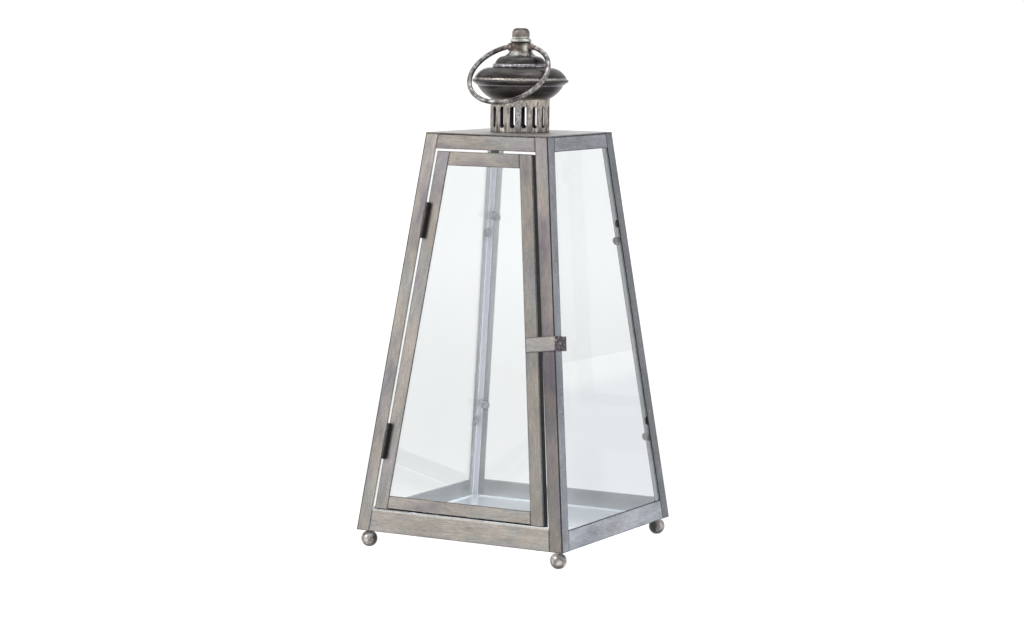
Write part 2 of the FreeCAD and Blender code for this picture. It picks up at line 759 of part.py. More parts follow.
def cap_bowl():
    """Lower half of the cap, from the collar out to the rim."""
    skin = d.cap_gauge
    collar_inner = d.collar_radius - d.collar_gauge
    turned("cap_bowl", [
        (collar_inner, d.collar_top), (d.collar_radius, d.collar_top),
        (d.bowl_radius, d.bowl_top, d.bowl_arc, 1),
        (d.rim_radius, d.rim_height - skin), (d.rim_radius, d.rim_height),
        (d.rim_radius - d.rim_lap, d.rim_height), (d.bowl_radius - skin, d.bowl_top + skin * 0.6),
        (collar_inner, d.collar_top + skin, d.bowl_arc - skin, -1)])


def cap_dome():
    """Upper half of the cap, from its thin rim in to the crown's seat."""
    skin = d.cap_gauge
    turned("cap_dome", [
        (d.rim_radius - d.rim_lap, d.rim_height), (d.rim_radius, d.rim_height),
        (d.rim_radius, d.rim_height + skin * 0.4), (d.rim_radius - d.rim_lip, d.rim_height + skin),
        (d.dome_radius, d.dome_top, d.dome_arc, 1),
        (d.bead_radius, d.crown_seat), (d.dome_hole, d.crown_seat),
        (d.dome_hole, d.crown_seat - skin), (d.bead_radius, d.crown_seat - skin),
        (d.dome_radius - skin * 0.4, d.dome_top - skin),
        (d.rim_radius - d.rim_lap, d.rim_height + skin * 0.6, d.dome_arc - skin, -1)])


def cap_crown():
    """Small beaded dome with a hollow flare that carries the finial."""
    skin = d.cap_gauge
    hole = d.stud_radius + d.stud_play
    turned("cap_crown", [
        (d.bead_radius - skin, d.crown_seat), (d.bead_radius, d.crown_seat),
        (d.bead_radius - skin * 0.6, d.bead_top, d.bead_bulge, 1), (d.crown_radius, d.bead_top),
        (d.crown_shoulder, d.flare_low, d.crown_arc, 1),
        (d.flare_radius, d.flare_top, d.flare_arc, -1), (hole, d.flare_top),
        (hole, d.flare_top - skin), (d.flare_radius - skin, d.flare_top - skin),
        (d.crown_shoulder - skin, d.flare_low - skin * 0.6, d.flare_arc + skin, 1),
        (d.crown_radius - skin, d.bead_top, d.crown_arc - skin, -1)])


# ---------------------------------------------------------------- finial and ring

def pivot_place(droop=0.0):
    """Frame of the ring's pivot: x along the pivot, y up and back through the ring's plane."""
    turn = Placement(V(0, 0, d.pivot_height.value), Rotation(Z_AXIS, d.pivot_turn.value))
    return turn * Placement(V(), Rotation(X_AXIS, droop))


def finial_neck():
    """Waisted neck with a cross boss bored for the ring and a stud that holds it to the crown."""
    body = new_body("finial_neck", pivot_place())
    base = d.flare_top - d.pivot_height
    top = d.neck_top - d.pivot_height
    stud = d.stud_low - d.pivot_height
    spin(body, outline(new_sketch(body, "XZ_Plane"), [
        (0, stud), (d.stud_radius, stud), (d.stud_radius, base), (d.neck_foot, base),
        (d.neck_waist, 0, d.neck_arc, -1), (d.neck_head, top, d.neck_arc, -1), (0, top)]))
    boss = circle(new_sketch(body, "YZ_Plane", -d.boss_reach), 0, 0, d.boss_radius)
    pad(body, boss, d.boss_reach * 2)
    hole = circle(new_sketch(body, "YZ_Plane"), 0, 0, d.wire_radius + d.wire_play)
    cut(body, hole, d.boss_reach * 4, both_ways=True)
    return keep(body)


def finial_nut():
    """Hexagon nut on the stud, inside the crown."""
    body = new_body("finial_nut", Placement(V(0, 0, d.nut_low.value), Rotation()))
    corners = []
    for index in range(6):
        angle = math.radians(60 * index)
        corners.append((d.nut_radius * math.cos(angle), d.nut_radius * math.sin(angle)))
    sketch = outline(new_sketch(body, "XY_Plane"), corners)
    circle(sketch, 0, 0, d.stud_radius + d.stud_play)
    pad(body, sketch, d.flare_top - d.cap_gauge - d.nut_low)
    return keep(body)


def finial_knob():
    """Beaded knob with a rounded top."""
    bead = d.bead_height / 2
    shoulder = d.neck_top + d.bead_height
    turned("finial_knob", [
        (0, d.neck_top), (d.knob_bead - bead, d.neck_top),
        (d.knob_bead - bead, shoulder, bead, 1), (d.knob_radius, shoulder),
        (d.knob_radius, d.knob_top - d.knob_round),
        (d.knob_radius - d.knob_round, d.knob_top, d.knob_round, 1), (0, d.knob_top)])


def ring_path(body):
    """Wire line: a straight part through the boss, a bend at each end and one large arc."""
    sketch = new_sketch(body, "XY_Plane")
    big, small = d.ring_radius.value, d.ring_bend.value
    end = d.ring_straight.value
    split = d.ring_split.value
    drop = small + math.sqrt((big - small) ** 2 - end ** 2)
    swing = math.atan2(drop - small, end)
    middle = V(0, -drop, 0)
    right = V(end, -small, 0)
    left = V(-end, -small, 0)
    up = math.pi / 2
    sketch.addGeometry(Part.LineSegment(V(split, 0, 0), V(end, 0, 0)))
    sketch.addGeometry(Part.ArcOfCircle(Part.Circle(right, Z_AXIS, small), swing, up))
    sketch.addGeometry(Part.ArcOfCircle(Part.Circle(middle, Z_AXIS, big), math.pi - swing, 2 * math.pi + swing))
    sketch.addGeometry(Part.ArcOfCircle(Part.Circle(left, Z_AXIS, small), up, math.pi - swing))
    sketch.addGeometry(Part.LineSegment(V(-end, 0, 0), V(-split, 0, 0)))
    for first, first_end, second, second_end in ((0, 2, 1, 2), (1, 1, 2, 2), (2, 1, 3, 2), (3, 1, 4, 1)):
        sketch.addConstraint(Sketcher.Constraint("Tangent", first, first_end, second, second_end))
    constrain(sketch, "Radius", 1, d.ring_bend)
    constrain(sketch, "Radius", 2, d.ring_radius)
    constrain(sketch, "Radius", 3, d.ring_bend)
    for index, point, x in ((0, 1, d.ring_split), (0, 2, d.ring_straight),
                            (4, 1, -d.ring_straight), (4, 2, -d.ring_split)):
        constrain(sketch, "DistanceX", -1, 1, index, point, x)
    for index, point in ((0, 1), (0, 2), (4, 2)):
        constrain(sketch, "DistanceY", -1, 1, index, point, 0)
    return sketch


def ring_handle():
    """Wire ring whose ends meet inside the boss."""
    body = new_body("ring_handle", pivot_place(d.ring_droop.value))
    path = ring_path(body)
    section = circle(new_sketch(body, "YZ_Plane", d.ring_split), 0, 0, d.wire_radius)
    doc.recompute()
    wire = body.newObject("PartDesign::AdditivePipe", "wire")
    wire.Profile = section
    wire.Spine = path
    return keep(body)


# ---------------------------------------------------------------- build and export

def build():
    for corner in CORNERS:
        corner_post(corner)
        foot(corner)
    for face in FACES:
        bands(face)
    base_plate()
    top_plate()
    foot_rivets()
    for face in ("right", "back", "left"):
        pane(face)
        pane_clips(face)
    door_stile("left", LEFT)
    door_stile("right", RIGHT)
    door_rails()
    door_glass()
    door_glass_clips()
    door_stop()
    latch_strap()
    hinge("hinge_lower", d.low_hinge)
    hinge("hinge_upper", d.high_hinge)
    vent_collar()
    cap_bowl()
    cap_dome()
    cap_crown()
    finial_neck()
    finial_nut()
    finial_knob()
    ring_handle()


def check():
    """Stop if any object failed or any piece is not a sound solid."""
    doc.recompute()
    for item in doc.Objects:
        if any(word in item.State for word in ("Invalid", "Error")):
            raise RuntimeError(f"{item.Label}: {item.State}")
    for item in nodes:
        if item.Shape.isNull() or not item.Shape.isValid() or not item.Shape.Solids:
            raise RuntimeError(f"{item.Label}: bad shape")


def export():
    os.makedirs("parts", exist_ok=True)
    for item in nodes:
        item.Shape.exportStep(f"parts/{item.Label}.step")
        print(f"{item.Label}: {len(item.Shape.Solids)} solid(s), {item.Shape.Volume:.1f} mm3")


build()
check()
export()
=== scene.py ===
import math

import bpy
from mathutils import Matrix, Vector


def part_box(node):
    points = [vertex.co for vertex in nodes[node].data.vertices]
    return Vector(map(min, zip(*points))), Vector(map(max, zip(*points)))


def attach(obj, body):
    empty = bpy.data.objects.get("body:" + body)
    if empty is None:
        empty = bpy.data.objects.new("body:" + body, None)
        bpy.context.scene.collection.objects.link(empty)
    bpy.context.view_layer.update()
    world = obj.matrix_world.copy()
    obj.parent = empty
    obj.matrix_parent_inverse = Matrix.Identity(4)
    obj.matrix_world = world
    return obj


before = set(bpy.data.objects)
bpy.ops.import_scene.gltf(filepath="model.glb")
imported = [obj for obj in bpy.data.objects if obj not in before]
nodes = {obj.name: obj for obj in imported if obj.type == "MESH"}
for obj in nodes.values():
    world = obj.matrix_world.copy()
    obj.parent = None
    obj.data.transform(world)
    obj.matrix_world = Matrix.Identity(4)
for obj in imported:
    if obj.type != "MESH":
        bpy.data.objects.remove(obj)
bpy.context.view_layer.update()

scene = bpy.context.scene

MM = 0.001

# Driving sizes of the lantern, in metres, as the frame has them.
BASE_HALF = 100 * MM
TOP_HALF = 58.6 * MM
FRAME_LOW = 14.6 * MM
FRAME_RISE = 339 * MM
RUN = BASE_HALF - TOP_HALF
SLANT = math.hypot(RUN, FRAME_RISE)
FACE_TILT = math.atan2(RUN, FRAME_RISE)
SIDE_TILT = math.atan2(RUN, SLANT)
FACES = {"front": 0, "right": 1, "back": 2, "left": 3}
CORNERS = {"front_left": (-1, -1), "front_right": (1, -1), "back_right": (1, 1), "back_left": (-1, 1)}

# Where a pane lies in its face: thickness, depth behind the face, inset from the slanted side, and
# its ends up the slope.
GLASS = 2 * MM
GAUGE = 1.2 * MM
PANE_INSET = 7 * MM
PANE_LOW = 2.5 * MM
PANE_HIGH = 336 * MM
# Heights of the bottom bands, up the slope.
FRONT_BAND = 19 * MM
SIDE_BAND = 17 * MM


# ---------------------------------------------------------------- camera and studio

def make_camera():
    """Camera at the viewing angle of the product shot, with a long lens."""
    azimuth = math.radians(29.091)
    elevation = math.radians(6.209)
    roll = math.radians(0.648)
    back = Vector((math.sin(azimuth) * math.cos(elevation), -math.cos(azimuth) * math.cos(elevation),
                   math.sin(elevation)))
    right = Vector((math.cos(azimuth), math.sin(azimuth), 0))
    up = back.cross(right)
    rolled_right = right * math.cos(roll) + up * math.sin(roll)
    rolled_up = up * math.cos(roll) - right * math.sin(roll)
    turn = Matrix((rolled_right, rolled_up, back)).transposed().to_4x4()
    position = (1.146612, -2.070996, 0.456288)
    data = bpy.data.cameras.new("camera")
    data.lens = 96.92
    data.sensor_width = 36
    data.clip_end = 40
    camera = bpy.data.objects.new("camera", data)
    camera.matrix_world = Matrix.Translation(position) @ turn
    scene.collection.objects.link(camera)
    scene.camera = camera


def area_light(name, place, target, size, power, colour):
    data = bpy.data.lights.new(name, "AREA")
    data.shape = "RECTANGLE"
    data.size, data.size_y = size
    data.energy = power
    data.color = colour
    light = bpy.data.objects.new(name, data)
    aim = Vector(target) - Vector(place)
    light.matrix_world = Matrix.Translation(place) @ aim.to_track_quat("-Z", "Y").to_matrix().to_4x4()
    scene.collection.objects.link(light)


def make_floor():
    """Plain paper floor that glows, so that it shows white and shadows stay faint."""
    reach = 14.0
    grey = 0.22
    corners = [(-reach, -reach, 0), (reach, -reach, 0), (reach, reach, 0), (-reach, reach, 0)]
    mesh = bpy.data.meshes.new("floor")
    mesh.from_pydata(corners, [], [(0, 1, 2, 3)])
    floor = bpy.data.objects.new("floor", mesh)
    scene.collection.objects.link(floor)
    paper = Graph("paper")
    away = paper.length(paper.coordinates.outputs["Object"])
    near_glow = paper.step(away, 0.13, 0.32, 0.94, 0.76)
    far_glow = paper.step(away, 0.4, 3.0, 0.0, 0.21)
    paper.set(Base_Color=(grey, grey, grey, 1), Roughness=0.9, Specular_IOR_Level=0.0,
              Emission_Color=(1, 1, 1, 1), Emission_Strength=paper.maths("ADD", near_glow, far_glow))
    mesh.materials.append(paper.material)


def make_world():
    """White surround: seen directly it is even, and in reflections it falls off towards the sides."""
    world = bpy.data.worlds.new("studio")
    world.use_nodes = True
    tree = world.node_tree
    tree.nodes.clear()
    place = tree.nodes.new("ShaderNodeTexCoord").outputs["Generated"]
    warm_side = (-0.48, -0.87, 0.10)
    dim_side = (0.52, 0.85, 0.02)
    dim_front = (0.49, -0.86, 0.12)
    seen_directly = 1.04

    def toward(direction, stops):
        """Brightness by the angle to a direction."""
        dot = tree.nodes.new("ShaderNodeVectorMath")
        dot.operation = "DOT_PRODUCT"
        tree.links.new(place, dot.inputs[0])
        dot.inputs[1].default_value = direction
        node = tree.nodes.new("ShaderNodeMapRange")
        tree.links.new(dot.outputs["Value"], node.inputs["Value"])
        node.interpolation_type = "SMOOTHSTEP"
        low, high, at_low, at_high = stops
        node.inputs["From Min"].default_value = low
        node.inputs["From Max"].default_value = high
        node.inputs["To Min"].default_value = at_low
        node.inputs["To Max"].default_value = at_high
        return node.outputs["Result"]

    def multiply(first, second):
        node = tree.nodes.new("ShaderNodeMath")
        node.operation = "MULTIPLY"
        tree.links.new(first, node.inputs[0])
        tree.links.new(second, node.inputs[1])
        return node.outputs["Value"]

    level = multiply(toward(warm_side, (0.2, 0.95, 0.98, 1.10)), toward(dim_side, (0.3, 0.97, 1.0, 0.62)))
    level = multiply(level, toward(dim_front, (0.80, 0.99, 1.0, 0.72)))
    soft = tree.nodes.new("ShaderNodeBackground")
    tree.links.new(level, soft.inputs["Strength"])
    soft.inputs["Color"].default_value = (1, 1, 1, 1)
    even = tree.nodes.new("ShaderNodeBackground")
    even.inputs["Color"].default_value = (1, 1, 1, 1)
    even.inputs["Strength"].default_value = seen_directly
    path = tree.nodes.new("ShaderNodeLightPath")
    direct = tree.nodes.new("ShaderNodeMath")
    direct.operation = "MAXIMUM"
    tree.links.new(path.outputs["Is Camera Ray"], direct.inputs[0])
    tree.links.new(path.outputs["Is Transmission Ray"], direct.inputs[1])
    blend = tree.nodes.new("ShaderNodeMixShader")
    tree.links.new(direct.outputs["Value"], blend.inputs["Fac"])
    tree.links.new(soft.outputs["Background"], blend.inputs[1])
    tree.links.new(even.outputs["Background"], blend.inputs[2])
    output = tree.nodes.new("ShaderNodeOutputWorld")
    tree.links.new(blend.outputs["Shader"], output.inputs["Surface"])
    scene.world = world


def make_studio():
    make_floor()
    make_world()
    scene.view_settings.view_transform = "Standard"
    scene.view_settings.look = "None"
    area_light("key", (-1.0, -1.6, 1.5), (0, 0, 0.2), (1.0, 1.4), 12, (1.0, 0.97, 0.93))
    area_light("side", (1.9, 0.3, 0.9), (0, 0, 0.2), (1.7, 2.0), 7, (0.93, 0.96, 1.0))
    area_light("top", (0.0, 0.4, 2.2), (0, 0, 0), (1.6, 1.6), 12, (1, 1, 1))


# ---------------------------------------------------------------- material building

class Graph:
    """Short names for building one material's nodes."""

    def __init__(self, name):
        self.material = bpy.data.materials.new(name)
        self.material.use_nodes = True
        self.tree = self.material.node_tree
        self.shader = self.tree.nodes["Principled BSDF"]
        self.coordinates = self.tree.nodes.new("ShaderNodeTexCoord")

    def add(self, kind, **inputs):
        node = self.tree.nodes.new(kind)
        for name, value in inputs.items():
            self.feed(node.inputs[name.replace("_", " ")], value)
        return node

    def feed(self, socket, value):
        """Put a constant or another node's output into a socket."""
        if isinstance(value, bpy.types.NodeSocket):
            self.tree.links.new(value, socket)
        else:
            socket.default_value = value

    def place(self, shift=(0, 0, 0)):
        """Place on the piece, moved so that each piece has its own part of a pattern."""
        return self.vector("ADD", self.coordinates.outputs["Object"], shift)

    def normal(self):
        return self.coordinates.outputs["Normal"]

    def vector(self, operation, first, second):
        node = self.tree.nodes.new("ShaderNodeVectorMath")
        node.operation = operation
        self.feed(node.inputs[0], first)
        self.feed(node.inputs[1], second)
        return node.outputs["Value" if operation == "DOT_PRODUCT" else "Vector"]

    def axis(self, vector, name):
        """One part, X, Y or Z, of a vector."""
        return self.add("ShaderNodeSeparateXYZ", Vector=vector).outputs[name]

    def past(self, point, direction):
        """How far the surface lies past a point, along a direction."""
        arm = self.vector("SUBTRACT", self.coordinates.outputs["Object"], point)
        return self.vector("DOT_PRODUCT", arm, direction)

    def length(self, vector):
        node = self.tree.nodes.new("ShaderNodeVectorMath")
        node.operation = "LENGTH"
        self.feed(node.inputs[0], vector)
        return node.outputs["Value"]

    def maths(self, operation, first, second):
        node = self.tree.nodes.new("ShaderNodeMath")
        node.operation = operation
        self.feed(node.inputs[0], first)
        self.feed(node.inputs[1], second)
        return node.outputs["Value"]

    def scaled(self, vector, scale, turn=(0, 0, 0)):
        """Coordinates turned, then stretched."""
        spun = self.add("ShaderNodeMapping", Vector=vector, Rotation=turn).outputs["Vector"]
        return self.add("ShaderNodeMapping", Vector=spun, Scale=scale).outputs["Vector"]

    def noise(self, vector, scale, detail, roughness):
        return self.add("ShaderNodeTexNoise", Vector=vector, Scale=scale, Detail=detail,
                        Roughness=roughness).outputs["Fac"]

    def ramp(self, value, stops):
        """Colour ramp from (position, colour or grey) stops."""
        node = self.add("ShaderNodeValToRGB", Fac=value)
        ramp = node.color_ramp
        while len(ramp.elements) < len(stops):
            ramp.elements.new(0.5)
        for element, (position, colour) in zip(ramp.elements, stops):
            element.position = position
            element.color = (*colour, 1) if isinstance(colour, tuple) else (colour, colour, colour, 1)
        return node.outputs["Color"]

    def step(self, value, low, high, at_low=0.0, at_high=1.0):
        """Smooth step from one value to another between low and high."""
        node = self.add("ShaderNodeMapRange", Value=value)
        node.interpolation_type = "SMOOTHSTEP"
        node.inputs["From Min"].default_value = low
        node.inputs["From Max"].default_value = high
        node.inputs["To Min"].default_value = at_low
        node.inputs["To Max"].default_value = at_high
        return node.outputs["Result"]

    def mix(self, kind, factor, first, second):
        node = self.tree.nodes.new("ShaderNodeMix")
        node.data_type = "RGBA"
        node.blend_type = kind
        self.feed(node.inputs["Factor"], factor)
        self.feed(node.inputs["A"], first if not isinstance(first, tuple) else (*first, 1))
        self.feed(node.inputs["B"], second if not isinstance(second, tuple) else (*second, 1))
        return node.outputs["Result"]

    def span(self, value, low, high):
        """A 0 to 1 value moved to the range low to high."""
        node = self.add("ShaderNodeMapRange", Value=value)
        node.inputs["To Min"].default_value = low
        node.inputs["To Max"].default_value = high
        return node.outputs["Result"]

    def bump(self, height, strength, distance):
        node = self.add("ShaderNodeBump", Height=height)
        node.inputs["Strength"].default_value = strength
        node.inputs["Distance"].default_value = distance
        self.feed(self.shader.inputs["Normal"], node.outputs["Normal"])

    def set(self, **values):
        for name, value in values.items():
            self.feed(self.shader.inputs[name.replace("_", " ")], value)


def tone(red, green, blue):
    """Linear colour from everyday 0 to 255 values."""
    return tuple(((part / 255 + 0.055) / 1.055) ** 2.4 for part in (red, green, blue))


def along(direction):
    """Turn that brings a direction onto local Z, for a Mapping node."""
    return tuple(Vector(direction).rotation_difference(Vector((0, 0, 1))).to_euler())


def patina(graph, colour, place, amount, reach):
    """Dark patina that gathers where pieces meet."""
    near = graph.add("ShaderNodeAmbientOcclusion", Distance=reach)
    near.samples = 6
    open_air = graph.ramp(near.outputs["AO"], [(0.30, 0.0), (0.78, 1.0)])
    blotches = graph.noise(place, 260, 4, 0.6)
    strength = graph.span(blotches, amount * 0.7, amount)
    dark = graph.mix("MIX", strength, colour, SOOT)
    return graph.mix("MIX", open_air, dark, colour)


def edges(graph, colour, place, width, shade):
    """A line of another tone along the edges, found from how the rounded normal differs."""
    rounded = graph.add("ShaderNodeBevel", Radius=width)
    rounded.samples = 4
    geometry = graph.add("ShaderNodeNewGeometry")
    turn = graph.vector("DOT_PRODUCT", rounded.outputs["Normal"], geometry.outputs["Normal"])
    near = graph.ramp(turn, [(0.93, 1.0), (0.999, 0.0)])
    broken = graph.step(graph.noise(place, 180, 4, 0.7), 0.30, 0.55, 0.65, 1.0)
    return graph.mix("MIX", graph.mix("MULTIPLY", 1.0, near, broken), colour, shade)


# Tones of the brushed strips, from one to the next as their slow pattern changes. The cool set, used on the
# sides, is painted light: the cool tone of the light falling on the sides.
WARM = (tone(142, 138, 141), tone(160, 154, 151), tone(169, 162, 154), tone(157, 156, 152),
        tone(158, 152, 156))
COOL = (tone(142, 146, 155), tone(154, 158, 166), tone(166, 170, 178), tone(152, 154, 158),
        tone(156, 160, 170))
# Pale tone of the inner faces: partly the metal's own, partly painted light.
INNER = tone(246, 248, 252)
SOOT = tone(44, 38, 37)
LINE = tone(40, 35, 36)
# How far dirt reaches from where pieces meet, and how wide the dark line on a strip's edge is.
STRIP_DIRT = 1.8 * MM
CAST_DIRT = 2.2 * MM
LINE_REACH = 1.6 * MM
# How fast the patterns of brushed metal change across, across and along the brushing, per metre.
SLOW_HUE = (30, 30, 13)
SLOW_SHADE = (55, 55, 17)
WIDE_BRUSH = (1000, 1000, 80)
FINE_BRUSH = (2000, 2000, 130)
# How high dust lies on the right pane.
DUST_TOP = 145 * MM
# Strength of the glow that stands for light held inside the lantern.
WALL_GLOW = 0.07
PLATE_GLOW = 0.15


def strip_colour(graph, place, turn, dim):
    """Brushed pewter tone: warm on the front and back, cooler on the sides as painted light, with slow
    changes.
    """
    hue = graph.noise(graph.scaled(place, SLOW_HUE, turn), 1.0, 3, 0.6)
    stops = (0.34, 0.43, 0.50, 0.57, 0.66)
    warm = graph.ramp(hue, list(zip(stops, WARM)))
    cool = graph.ramp(hue, list(zip(stops, COOL)))
    x = graph.maths("ABSOLUTE", graph.axis(graph.normal(), "X"), 0.0)
    y = graph.maths("ABSOLUTE", graph.axis(graph.normal(), "Y"), 0.0)
    # sideways picks the side faces for the cool tone: painted light.
    sideways = graph.step(graph.maths("SUBTRACT", x, y), -0.2, 0.2)
    colour = graph.mix("MIX", sideways, warm, cool)
    slow = graph.noise(graph.scaled(place, SLOW_SHADE, turn), 1.0, 2, 0.5)
    colour = graph.mix("MULTIPLY", 1.0, colour, graph.ramp(slow, [(0.32, 0.80 * dim), (0.62, 1.04 * dim)]))
    wide = graph.noise(graph.scaled(place, WIDE_BRUSH, turn), 1.0, 3, 0.65)
    fine = graph.noise(graph.scaled(place, FINE_BRUSH, turn), 1.0, 4, 0.75)
    speck = graph.noise(place, 820, 4, 0.75)
    colour = graph.mix("MULTIPLY", 1.0, colour, graph.ramp(wide, [(0.34, 0.88), (0.50, 0.97), (0.66, 1.05)]))
    colour = graph.mix("MULTIPLY", 1.0, colour, graph.ramp(fine, [(0.34, 0.72), (0.64, 1.12)]))
    colour = graph.mix("MULTIPLY", 1.0, colour, graph.ramp(speck, [(0.32, 0.84), (0.70, 1.12)]))
    bright = graph.step(graph.noise(place, 640, 3, 0.7), 0.58, 0.68, 0.0, 0.6)
    colour = graph.mix("MIX", graph.maths("MULTIPLY", bright, sideways), colour, tone(206, 209, 214))
    return colour, wide, fine


def facing_in(graph):
    """1 where a surface faces the inside of the lantern."""
    level = graph.vector("MULTIPLY", graph.coordinates.outputs["Object"], (1, 1, 0))
    outward = graph.vector("DOT_PRODUCT", graph.vector("NORMALIZE", level, (0, 0, 0)), graph.normal())
    return graph.step(outward, -0.3, -0.1, 1.0, 0.0)


def pewter(name, direction, shift, dim, extra, inner_light_shade_and_marks=None, pale_inside=True):
    """Antiqued sheet metal brushed along a direction, with dark edges and, on the frame, pale inner faces
    that are partly painted light.
    """
    graph = Graph(name)
    place = graph.place(shift)
    colour, wide, fine = strip_colour(graph, place, along(direction), dim)
    colour = edges(graph, colour, place, LINE_REACH, LINE)
    if extra is not None:
        colour = extra(graph, colour, place)
    if pale_inside:
        colour = pale_inner_faces(graph, colour, place, wide, inner_light_shade_and_marks)
    else:
        colour = patina(graph, colour, place, 0.9, STRIP_DIRT)
        graph.set(Metallic=0.85)
    graph.set(Base_Color=colour, Roughness=graph.span(wide, 0.36, 0.50))
    graph.bump(fine, 0.12, 0.2 * MM)
    return graph.material


def pale_inner_faces(graph, colour, place, wide, inner_light_shade_and_marks):
    """Pale, little worn metal on the faces that look into the lantern, made paler still as painted light. It
    glows: painted light for the light held inside.
    """
    inner = facing_in(graph)
    pale = graph.mix("MULTIPLY", 1.0, INNER, graph.ramp(wide, [(0.30, 0.90), (0.70, 1.02)]))
    if inner_light_shade_and_marks is not None:
        pale = inner_light_shade_and_marks(graph, pale)
    colour = graph.mix("MIX", inner, colour, pale)
    outer = graph.maths("SUBTRACT", 1.0, inner)
    dark = patina(graph, colour, place, 0.9, STRIP_DIRT)
    colour = graph.mix("MIX", graph.maths("MAXIMUM", outer, 0.15), colour, dark)
    graph.set(Metallic=graph.span(outer, 0.10, 0.85), Emission_Color=colour,
              Emission_Strength=graph.maths("MULTIPLY", inner, WALL_GLOW))
    return colour


def fold_distance(graph, corner):
    """Distance from the line of a corner's fold."""
    x, y = CORNERS[corner]
    foot = Vector((x * BASE_HALF, y * BASE_HALF, FRAME_LOW))
    arm = graph.vector("SUBTRACT", graph.coordinates.outputs["Object"], foot)
    return graph.length(graph.vector("CROSS_PRODUCT", arm, post_direction(corner)))


def facing_front(graph):
    """1 where a surface faces the front."""
    return graph.step(graph.vector("DOT_PRODUCT", graph.normal(), (0, -1, 0)), 0.4, 0.6)


def corner_line(corner):
    """Extra for a post: a dark line on the fold of its corner."""
    def add(graph, colour, place):
        waver = graph.span(graph.noise(place, 70, 3, 0.6), -0.25 * MM, 0.25 * MM)
        away = graph.maths("ADD", fold_distance(graph, corner), waver)
        return graph.mix("MIX", graph.step(away, 0.6 * MM, 1.1 * MM, 0.95, 0.0), colour, tone(50, 45, 46))
    return add


def near_post(graph, colour, place):
    """Extra for the post beside the latch: purplish and darkest below its middle."""
    rise = graph.maths("DIVIDE", graph.axis(graph.coordinates.outputs["Object"], "Z"), FRAME_RISE)
    shade = graph.ramp(rise, [(0.08, (0.86, 0.83, 0.82)), (0.24, (0.66, 0.65, 0.69)),
                              (0.36, (0.58, 0.57, 0.62)), (0.58, (0.72, 0.70, 0.75)),
                              (0.95, (0.90, 0.88, 0.90))])
    is_front = graph.step(graph.axis(graph.normal(), "Y"), -0.8, -0.5, 1.0, 0.0)
    darker = graph.mix("MULTIPLY", is_front, colour, shade)
    return corner_line("front_right")(graph, darker, place)


def dark_corner(corner):
    """Painted shade for a post: its inner corner is dark up to the panes' edges, where shade falls behind
    them. Its cut edge is dark as well.
    """
    def add(graph, pale):
        away = fold_distance(graph, corner)
        # Painted shade: the inner corner behind the panes' edges.
        deep = graph.step(away, 8.2 * MM, 8.6 * MM, 0.95, 0.0)
        cut = graph.maths("MULTIPLY", facing_front(graph), graph.step(away, 11.2 * MM, 11.5 * MM))
        return graph.mix("MIX", graph.maths("MAXIMUM", deep, cut), pale, tone(30, 28, 30))
    return add


def cut_edge(graph, colour, place):
    """Extra for the back right post: the cut edge of its side flange is near black."""
    inward = Vector((-math.cos(FACE_TILT), 0, -math.sin(FACE_TILT)))
    foot = Vector((BASE_HALF, 0, FRAME_LOW))
    shallow = graph.step(graph.past(foot, inward), 1.6 * MM, 2.0 * MM, 1.0, 0.0)
    skin = graph.maths("MULTIPLY", shallow, facing_front(graph))
    return graph.mix("MIX", skin, corner_line("back_right")(graph, colour, place), tone(24, 22, 24))


def pale_corner(graph, pale):
    """Painted light for the back left post: a painted glint on its inner fold, and a darker purplish tone
    beside it.
    """
    away = fold_distance(graph, "back_left")
    back = facing_front(graph)
    shade = graph.maths("MULTIPLY", back, graph.step(away, 5.2 * MM, 6.2 * MM, 0.85, 0.0))
    pale = graph.mix("MIX", shade, pale, tone(204, 201, 213))
    # Painted highlight: the glint on the inner fold.
    glint = graph.step(away, 2.0 * MM, 2.6 * MM, 1.0, 0.0)
    side = graph.maths("SUBTRACT", 1.0, back)
    return graph.mix("MIX", graph.maths("MULTIPLY", side, glint), pale, tone(252, 252, 253))


def dull_wall(graph, pale):
    """Extra for the inner face of the back's bottom band: duller towards the right."""
    x = graph.axis(graph.coordinates.outputs["Object"], "X")
    dull = graph.step(x, -60 * MM, 60 * MM, 0.1, 1.0)
    return graph.mix("MULTIPLY", dull, pale, (0.66, 0.67, 0.69))


def dark_line(height, half):
    """Extra for a strip: a near black line at a height up the slope, painted shadow in the gap at a joint."""
    level = FRAME_LOW + height * math.cos(FACE_TILT)

    def add(graph, colour, place):
        # Breaks the painted shadow line up in places.
        worn = graph.step(graph.noise(place, 200, 3, 0.6), 0.30, 0.50, 0.75, 1.0)
        line = height_band(graph, level - half, level + half, 0.25 * MM)
        return graph.mix("MIX", graph.maths("MULTIPLY", line, worn), colour, tone(22, 19, 19))
    return add


def together(*extras):
    """One extra that applies several in turn."""
    def add(graph, colour, place):
        for extra in extras:
            colour = extra(graph, colour, place)
        return colour
    return add


def light_line(height):
    """Extra for a bottom band: its top edge is bright in places, partly wear and partly a painted highlight.
    """
    def add(graph, colour, place):
        level = FRAME_LOW + height * math.cos(FACE_TILT)
        worn = graph.step(graph.noise(place, 300, 4, 0.7), 0.35, 0.6, 0.45, 0.9)
        line = height_band(graph, level - 1.3 * MM, level + 0.5 * MM, 0.2 * MM)
        return graph.mix("MIX", graph.maths("MULTIPLY", line, worn), colour, tone(206, 202, 198))
    return add


def dark_lip(graph, colour, place):
    """Extra for a stile: its turned lip is left dark, as painted shade in the gap beside the door."""
    slope = Vector((0, math.cos(FACE_TILT), -math.sin(FACE_TILT)))
    front = Vector((0, -BASE_HALF, FRAME_LOW))
    behind = graph.step(graph.past(front, slope), 0.4 * MM, 1.0 * MM)
    return graph.mix("MIX", behind, colour, tone(26, 21, 21))


